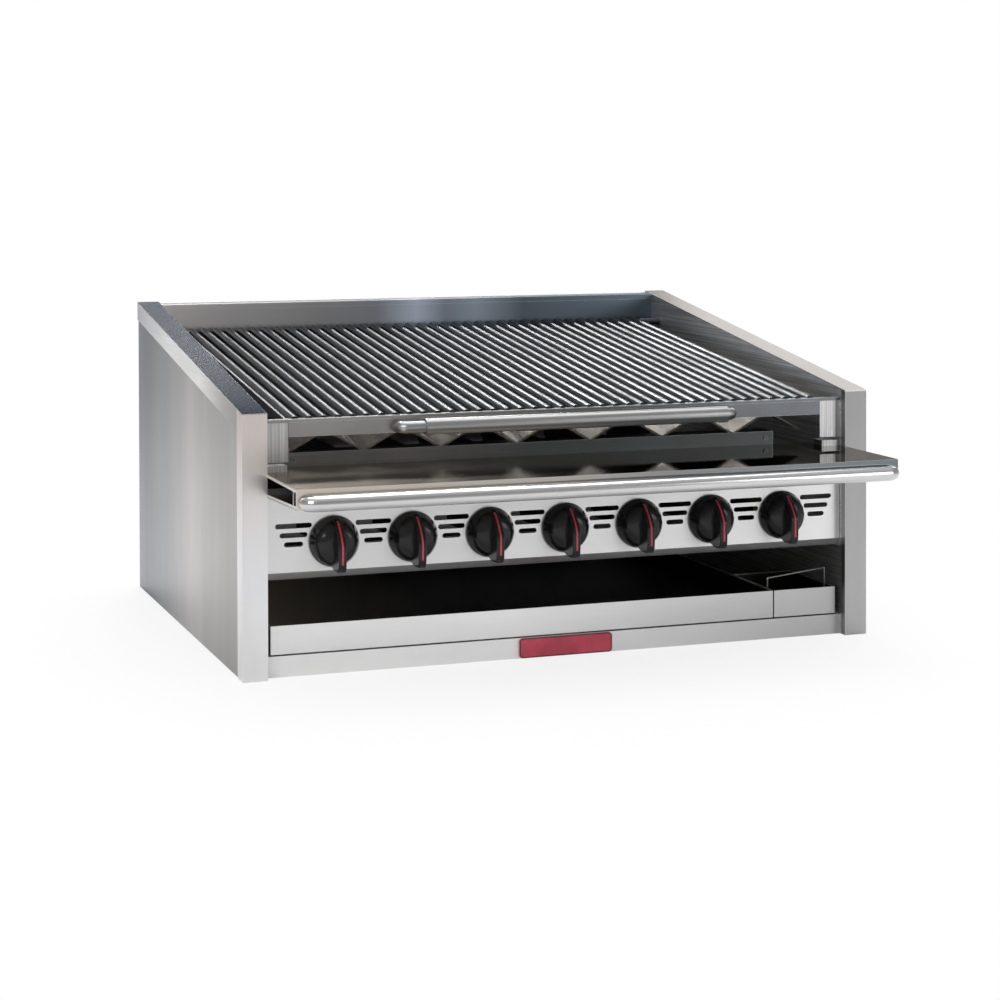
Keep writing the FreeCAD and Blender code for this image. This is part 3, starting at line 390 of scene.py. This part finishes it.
# Painted reflection across the deck: pale beige to the left, dark slate to the right.
DECK_PAINTED_REFLECTION = (X, -INNER, INNER, [
    (0.0, (1.0, 0.9, 0.8, 1)), (0.35, (0.75, 0.7, 0.64, 1)), (0.6, (0.4, 0.41, 0.42, 1)),
    (1.0, (0.25, 0.27, 0.28, 1)),
])
DECK_GLOSS = (X, -INNER, INNER, [(0.0, 0.22), (0.35, 0.14), (0.6, 0.02), (1.0, 0.0)])
# Painted light along the grid's front ledge and rail: pale to the left, darker and bluer to the right.
LEDGE_PAINTED_LIGHT = (X, -INNER, INNER, [
    (0.0, (0.8, 0.78, 0.76, 1)), (0.3, (0.72, 0.7, 0.68, 1)), (0.5, (0.4, 0.41, 0.42, 1)),
    (1.0, (0.4, 0.43, 0.48, 1)),
])
# Painted shade inside the water pan and grease box, behind the panel's front and below the pan's rim.
PAN_RECESS_PLACE = (PANEL_FRONT + 3 * MM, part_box("water_pan")[1][Z])

side_steel = brushed_steel("side_steel", GRAIN_Z, 0.62, 0.4, SIDE_PAINTED_LIGHT)
right_side_steel = brushed_steel("right_side_steel", GRAIN_Z, 0.6, 0.4)
# Painted light and shade: both columns are the same steel, the left one given a bright colour and the right
# one a dark colour.
left_column_steel = brushed_steel("left_column_steel", GRAIN_Z, 0.96, 0.38, LEFT_COLUMN_PAINTED_LIGHT)
right_column_steel = brushed_steel("right_column_steel", GRAIN_Z, 0.42, 0.4, RIGHT_COLUMN_PAINTED_SHADE)
# Painted light: the left cap's lip carries painted light along its length, and its top faces carry a
# painted reflection tone.
left_cap_steel = brushed_steel(
    "left_cap_steel", GRAIN_Y, 0.98, 0.4, LIP_PAINTED_LIGHT, depth=0.2, painted_top_light=CAP_TOP_PAINTED_REFLECTION,
    edge_tint=(0.27, 0.275, 0.29, 1), top_rough=0.27, streak=0.12, metal=0.2)
# Painted light: the right cap is the same steel given a darker colour, with a painted tone of its own on
# its top faces.
right_cap_steel = brushed_steel(
    "right_cap_steel", GRAIN_Y, 0.5, 0.3, painted_top_light=(0.42, 0.41, 0.4, 1), edge_tint=(0.55, 0.54, 0.53, 1))
back_steel = brushed_steel("back_steel", GRAIN_X, 0.6, 0.32, BACKSPLASH_PAINTED_LIGHT)
panel_steel = brushed_steel("panel_steel", GRAIN_X, 0.7, 0.36)
pan_steel = brushed_steel("pan_steel", GRAIN_X, 0.98, 0.37, PAN_PAINTED_LIGHT, painted_shade_behind=PAN_RECESS_PLACE, metal=0.88)
base_steel = brushed_steel("base_steel", GRAIN_X, 0.98, 0.47, BASE_PAINTED_LIGHT, metal=0.6)
liner_steel = brushed_steel("liner_steel", GRAIN_Y, 0.94, 0.44, soot=0.1, streak=0.4)
rail_steel = brushed_steel("burner_rail_steel", GRAIN_X, 0.2, 0.3, BURNER_RAIL_PAINTED_LIGHT, soot=0.3)
bracket_steel = brushed_steel("bracket_steel", GRAIN_Z, 0.68, 0.3, soot=0.05, depth=2.5, streak=0.5)
deck_steel = brushed_steel(
    "deck_steel", GRAIN_X, 0.62, 0.17, DECK_PAINTED_REFLECTION, depth=0.3, edge_tint=(0.5, 0.48, 0.45, 1),
    rough_shade=DECK_GLOSS)
bar_steel = brushed_steel("bar_steel", GRAIN_X, 0.62, 0.18, depth=0.5)
handle_steel = brushed_steel("handle_steel", GRAIN_X, 0.36, 0.33, soot=0.15, depth=0.8)
ledge_steel = brushed_steel("ledge_steel", GRAIN_X, 0.42, 0.3, LEDGE_PAINTED_LIGHT, soot=0.25, depth=0.8)
gusset_steel = brushed_steel("gusset_steel", GRAIN_Y, 0.7, 0.26)
screw_steel = brushed_steel("screw_steel", GRAIN_X, 0.12, 0.4)
rod_iron = cast_iron("rod_iron", (0.05, 0.055, 0.06), 0.34, 0.9, 260.0, pitting=0.08)
wire_steel = brushed_steel("wire_steel", GRAIN_X, 0.3, 0.4, soot=0.6)
radiant_iron = cast_iron("radiant_iron", (0.16, 0.14, 0.12), 0.42, 0.8, 160.0)
burner_iron = cast_iron("burner_iron", (0.05, 0.045, 0.04), 0.7, 0.5, 120.0)
pipe_paint = moulded("pipe_paint", (0.02, 0.02, 0.02), 0.5)
valve_brass = moulded("valve_brass", (0.6, 0.45, 0.2), 0.35, bump_strength=0.1, metallic=1.0)
knob_plastic = moulded("knob_plastic", (0.008, 0.008, 0.009), 0.2, coat=0.1, gleam=0.3)
knob_red = moulded("knob_red", (0.55, 0.04, 0.07), 0.35, coat=0.2)
badge_enamel = moulded("badge_enamel", (0.5, 0.05, 0.09), 0.3, coat=0.3, bump_strength=0.12)
badge_rim = moulded("badge_rim", (0.08, 0.05, 0.05), 0.3, coat=0.2, bump_strength=0.1, metallic=0.6)
dark_steel = brushed_steel("dark_bay_steel", GRAIN_Y, 0.12, 0.45, soot=0.8)

dress(side_steel, "left_side_skin")
dress(right_side_steel, "right_side_skin", "back_panel")
dress(left_column_steel, "left_column")
dress(right_column_steel, "right_column")
dress(left_cap_steel, "left_cap")
dress(right_cap_steel, "right_cap")
dress(back_steel, "backsplash")
dress(panel_steel, "control_panel")
dress(base_steel, "base_front_rail")
dress(pan_steel, "water_pan", "grease_box")
dress(liner_steel, "left_side_liner", "right_side_liner", "radiant_rear_bar")
dress(dark_steel, "floor_sheet", "pan_runners", "front_burner_shelf", "rear_burner_shelf",
      "manifold_hangers")
dress(gusset_steel, "deck_gussets")
dress(screw_steel, "rail_screws")
dress(rail_steel, "burner_front_rail")
dress(bracket_steel, "left_grid_bracket", "right_grid_bracket", "deck_clips")
dress(deck_steel, "work_deck")
dress(bar_steel, "deck_bar")
dress(handle_steel, "handle_rod", "handle_sleeve")
dress(wire_steel, "grease_box_pull")
dress(ledge_steel, "grid_front_ledge", "grid_front_rail")
dress(rod_iron, "grid_rods", "grid_rear_bar", "grid_side_bars", "grid_pivot_pins")
dress(radiant_iron, "radiants")
dress(burner_iron, "burners")
dress(pipe_paint, "gas_manifold", "gas_inlet_pipe", "pilot_runner")
dress(valve_brass, "gas_valves", "burner_orifices", *[f"valve_stem_{number}" for number in KNOBS])
dress(badge_enamel, "badge_plate")


def round_edges(piece, width, segments, angle):
    """Bevel on a piece's edges that are sharper than an angle in degrees."""
    bevel = piece.modifiers.new("rounding", "BEVEL")
    bevel.width = width
    bevel.segments = segments
    bevel.limit_method = "ANGLE"
    bevel.angle_limit = math.radians(angle)
    return bevel


FOLD_RADIUS = 0.45 * MM
for folded in (
    "left_column", "right_column", "left_cap", "right_cap", "left_grid_bracket", "right_grid_bracket",
    "base_front_rail", "deck_clips", "grid_front_ledge", "grid_front_rail", "badge_plate",
):
    round_edges(NODES[folded], FOLD_RADIUS, 2, 40).harden_normals = True


# ---------------------------------------------------------------- knobs

# Share of the knob's radius, and millimetres in front of its back.
BELL_PROFILE = [
    (0.9, 0.0), (0.985, 0.4), (0.995, 2.5), (0.97, 4.2), (0.93, 8), (0.87, 13), (0.78, 18.5),
    (0.66, 22.6), (0.5, 24.6), (0.25, 25.2), (0.05, 25.3),
]
# Share of the knob's depth, and share of its radius above the middle.
GRIP_TOP = [(0.27, 0.955), (0.47, 0.78), (0.66, 0.57), (0.83, 0.33), (0.95, 0.1), (0.99, -0.06)]
LINE_TOP = [(0.4, 0.845), (0.475, 0.785), (0.665, 0.575), (0.835, 0.335), (0.955, 0.105), (0.996, -0.06)]
# Share of the knob's depth, and share of the way down to the nose of the grip.
GRIP_NOSE = [(0.99, 0.62), (0.96, 0.84), (0.87, 0.985), (0.5, 0.99)]
LINE_NOSE = [(0.996, 0.62), (0.985, 0.7)]
GRIP_ROOT = 8 * MM
GRIP_HALF_WIDTH = 7.6 * MM
GRIP_FRONT_TAPER = 0.28
GRIP_TOP_TAPER = 0.45
GRIP_ROUNDING = 1.6 * MM
LINE_HALF_WIDTH = 1.3 * MM
LINE_THICKNESS = 0.5 * MM


def add_piece(name, mesh, material, body, smooth=True):
    """Object from a bmesh, dressed and riding on a body."""
    data = bpy.data.meshes.new(name)
    mesh.to_mesh(data)
    mesh.free()
    if smooth:
        data.shade_smooth()
    data.materials.append(material)
    piece = bpy.data.objects.new(name, data)
    bpy.context.scene.collection.objects.link(piece)
    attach(piece, body)
    return piece


def spin_profile(mesh, centre, profile, steps=64):
    """Surface turned about the Y axis through centre from (radius, forward) points."""
    rings = []
    for radius, forward in profile:
        ring = []
        for step in range(steps):
            angle = 2 * math.pi * step / steps
            offset = Vector((radius * math.cos(angle), -forward, radius * math.sin(angle)))
            ring.append(mesh.verts.new(centre + offset))
        rings.append(ring)
    for inner, outer in zip(rings, rings[1:]):
        for step in range(steps):
            following = (step + 1) % steps
            mesh.faces.new((inner[step], inner[following], outer[following], outer[step]))
    mesh.faces.new(rings[0][::-1])
    mesh.faces.new(rings[-1])


def fin(mesh, centre, outline, radius):
    """Slab across X from (forward, up) points, thinner towards its front and towards its top."""
    reach = max(forward for forward, up in outline)
    sides = []
    for sign in (-1, 1):
        side = []
        for forward, up in outline:
            front_taper = 1 - GRIP_FRONT_TAPER * forward / reach
            top_taper = 1 - GRIP_TOP_TAPER * max(0.0, up / radius) ** 2
            half = GRIP_HALF_WIDTH * front_taper * top_taper
            side.append(mesh.verts.new(centre + Vector((sign * half, -forward, up))))
        sides.append(side)
    left, right = sides
    mesh.faces.new(left)
    mesh.faces.new(right[::-1])
    for index in range(len(outline)):
        following = (index + 1) % len(outline)
        mesh.faces.new((left[following], left[index], right[index], right[following]))


def make_knob(number):
    """Gloss black bell with a fin-shaped grip and a red line down its front."""
    low, high = (Vector(corner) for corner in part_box(f"knob_{number}"))
    radius = (high.x - low.x) / 2
    centre = Vector(((low.x + high.x) / 2, high.y, high.z - radius))
    reach = high.y - low.y
    nose = centre.z - low.z
    body = f"knob_{number}"
    bell = bmesh.new()
    spin_profile(bell, centre, [(radius * share, forward * MM) for share, forward in BELL_PROFILE])
    bell_piece = add_piece(f"knob_bell_{number}", bell, knob_plastic, body)
    grip = bmesh.new()
    grip_outline = [(GRIP_ROOT, radius * 0.9)]
    grip_outline += [(reach * forward, radius * up) for forward, up in GRIP_TOP]
    grip_outline += [(reach * forward, -nose * down) for forward, down in GRIP_NOSE]
    grip_outline.append((GRIP_ROOT, -nose * 0.85))
    fin(grip, centre, grip_outline, radius)
    grip_piece = add_piece(f"knob_grip_{number}", grip, knob_plastic, body)
    round_edges(grip_piece, GRIP_ROUNDING, 4, 30)
    grip_piece.modifiers.new("normals", "WEIGHTED_NORMAL")
    line = bmesh.new()
    points = [(reach * forward, radius * up) for forward, up in LINE_TOP]
    points += [(reach * forward, -nose * down) for forward, down in LINE_NOSE]
    rows = []
    for forward, up in points:
        sides = (-LINE_HALF_WIDTH, LINE_HALF_WIDTH)
        rows.append([line.verts.new(centre + Vector((across, -forward, up))) for across in sides])
    for upper, lower in zip(rows, rows[1:]):
        line.faces.new((upper[0], lower[0], lower[1], upper[1]))
    line_piece = add_piece(f"knob_line_{number}", line, knob_red, body)
    thick = line_piece.modifiers.new("paint", "SOLIDIFY")
    thick.thickness = LINE_THICKNESS
    thick.offset = 0
    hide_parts(f"knob_{number}")


for knob_number in KNOBS:
    make_knob(knob_number)


# ---------------------------------------------------------------- badge rim

def make_badge_rim():
    """Raised dark rim round the plain red badge."""
    low, high = (Vector(corner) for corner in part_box("badge_plate"))
    corner = 5 * MM
    width = 1.6 * MM
    proud = 0.05 * MM
    sunk = 1.0 * MM
    corner_steps = 6
    outline = []
    for centre_x, centre_z, start in (
        (high.x - corner, high.z - corner, 0), (low.x + corner, high.z - corner, 90),
        (low.x + corner, low.z + corner, 180), (high.x - corner, low.z + corner, 270),
    ):
        for step in range(corner_steps + 1):
            angle = math.radians(start + 90 / corner_steps * step)
            outline.append((centre_x, centre_z, math.cos(angle), math.sin(angle)))
    mesh = bmesh.new()
    loops = []
    for radius in (corner - proud, corner - width):
        for depth in (low.y - proud, low.y + sunk):
            loops.append([mesh.verts.new((x + radius * across, depth, z + radius * up))
                          for x, z, across, up in outline])
    count = len(outline)
    for first, second in ((0, 1), (2, 3), (0, 2)):
        for index in range(count):
            following = (index + 1) % count
            mesh.faces.new((loops[first][index], loops[first][following],
                            loops[second][following], loops[second][index]))
    add_piece("badge_rim", mesh, badge_rim, "root", smooth=False)


make_badge_rim()


# ---------------------------------------------------------------- studio

FLOOR_HALF = 6.0
FLOOR_GAP = 0.5 * MM
# Metres from the middle, and how much of the floor is plain white there.
FLOOR_CLEARING = [(0.45, 0.8), (0.95, 1.0)]
# Height of the direction from 0 straight down to 1 straight up, and its brightness.
STUDIO_TONES = [(0.0, 0.5), (0.47, 0.62), (0.56, 0.5), (0.75, 0.34), (1.0, 0.85)]


def make_floor():
    """Pale floor that keeps the object's shadow."""
    mesh = bmesh.new()
    bmesh.ops.create_grid(mesh, x_segments=8, y_segments=8, size=FLOOR_HALF)
    data = bpy.data.meshes.new("studio_floor")
    mesh.to_mesh(data)
    mesh.free()
    material, tree, shader = new_material("floor_white")
    shader.inputs["Base Color"].default_value = (0.9, 0.9, 0.9, 1)
    shader.inputs["Roughness"].default_value = 0.9
    data.materials.append(material)
    floor = bpy.data.objects.new("studio_floor", data)
    floor.location.z = -FLOOR_GAP
    bpy.context.scene.collection.objects.link(floor)
    light_path = tree.nodes.new("ShaderNodeLightPath")
    white = tree.nodes.new("ShaderNodeEmission")
    white.inputs["Strength"].default_value = 1.0
    mix = tree.nodes.new("ShaderNodeMixShader")
    output = tree.nodes["Material Output"]
    coords = tree.nodes.new("ShaderNodeTexCoord")
    length = tree.nodes.new("ShaderNodeVectorMath")
    length.operation = "LENGTH"
    tree.links.new(coords.outputs["Object"], length.inputs[0])
    clear = ramp_node(tree, length.outputs["Value"], FLOOR_CLEARING)
    tree.links.new(math_node(tree, "MULTIPLY", light_path.outputs["Is Camera Ray"], clear), mix.inputs[0])
    tree.links.new(shader.outputs[0], mix.inputs[1])
    tree.links.new(white.outputs[0], mix.inputs[2])
    tree.links.new(mix.outputs[0], output.inputs["Surface"])


def make_world():
    """White to the camera, and a graded studio to everything that reflects it."""
    world = bpy.data.worlds.new("studio")
    bpy.context.scene.world = world
    world.use_nodes = True
    tree = world.node_tree
    tree.nodes.clear()
    output = tree.nodes.new("ShaderNodeOutputWorld")
    coords = tree.nodes.new("ShaderNodeTexCoord")
    split = tree.nodes.new("ShaderNodeSeparateXYZ")
    tree.links.new(coords.outputs["Generated"], split.inputs[0])
    rise = math_node(tree, "MULTIPLY_ADD", split.outputs["Z"], 0.5, 0.5)
    tone = ramp_node(tree, rise, STUDIO_TONES)
    ambient = tree.nodes.new("ShaderNodeBackground")
    tree.links.new(tone, ambient.inputs["Color"])
    ambient.inputs["Strength"].default_value = 0.9
    white = tree.nodes.new("ShaderNodeBackground")
    white.inputs["Color"].default_value = (1, 1, 1, 1)
    light_path = tree.nodes.new("ShaderNodeLightPath")
    mix = tree.nodes.new("ShaderNodeMixShader")
    tree.links.new(light_path.outputs["Is Camera Ray"], mix.inputs[0])
    tree.links.new(ambient.outputs[0], mix.inputs[1])
    tree.links.new(white.outputs[0], mix.inputs[2])
    tree.links.new(mix.outputs[0], output.inputs["Surface"])


def add_softbox(name, place, target, size, power):
    """Soft rectangular lamp aimed at a point."""
    lamp = bpy.data.lights.new(name, "AREA")
    lamp.shape = "RECTANGLE"
    lamp.size, lamp.size_y = size
    lamp.energy = power
    holder = bpy.data.objects.new(name, lamp)
    holder.location = place
    holder.rotation_euler = (Vector(target) - Vector(place)).to_track_quat("-Z", "Y").to_euler()
    bpy.context.scene.collection.objects.link(holder)


def make_camera():
    """Camera at the angle from which the object is shown, front left and slightly above."""
    azimuth = math.radians(-19.86)
    elevation = math.radians(1.11)
    roll = math.radians(-0.12)
    distance = 3.4777
    aside = 0.0416
    above = 0.414
    back = Vector((math.sin(azimuth) * math.cos(elevation), -math.cos(azimuth) * math.cos(elevation),
                   math.sin(elevation)))
    right = Vector((math.cos(azimuth), math.sin(azimuth), 0))
    up = back.cross(right)
    across = right * math.cos(roll) + up * math.sin(roll)
    upward = up * math.cos(roll) - right * math.sin(roll)
    target = Vector((0, FRONT + 0.3, 0.2)) + across * aside + upward * above
    camera = bpy.data.cameras.new("camera")
    camera.sensor_width = 36
    camera.lens = 83.844
    camera.shift_x = -0.0254
    camera.shift_y = -0.2936
    camera.clip_end = 50
    holder = bpy.data.objects.new("camera", camera)
    turn = Matrix((across, upward, back)).transposed().to_4x4()
    holder.matrix_world = Matrix.Translation(target + back * distance) @ turn
    bpy.context.scene.collection.objects.link(holder)
    bpy.context.scene.camera = holder


# Name, place, target, size and power of each lamp.
LAMPS = [
    ("key_left", (-2.2, -2.4, 2.0), (0, 0, 0.2), (1.8, 1.8), 44),
    ("top", (0.2, 0.4, 2.6), (0, 0, 0.3), (2.4, 1.6), 30),
    ("front_right", (2.0, -2.8, 1.0), (0, 0, 0.2), (1.2, 1.6), 16),
    ("rim_right", (2.0, 1.9, 1.5), (0.2, 0, 0.35), (1.6, 0.5), 9),
    ("back_high", (0.5, 2.6, 2.1), (0.2, 0, 0.35), (1.2, 0.3), 34),
]

make_floor()
make_world()
for lamp_row in LAMPS:
    add_softbox(*lamp_row)
make_camera()
bpy.context.scene.view_settings.view_transform = "Standard"
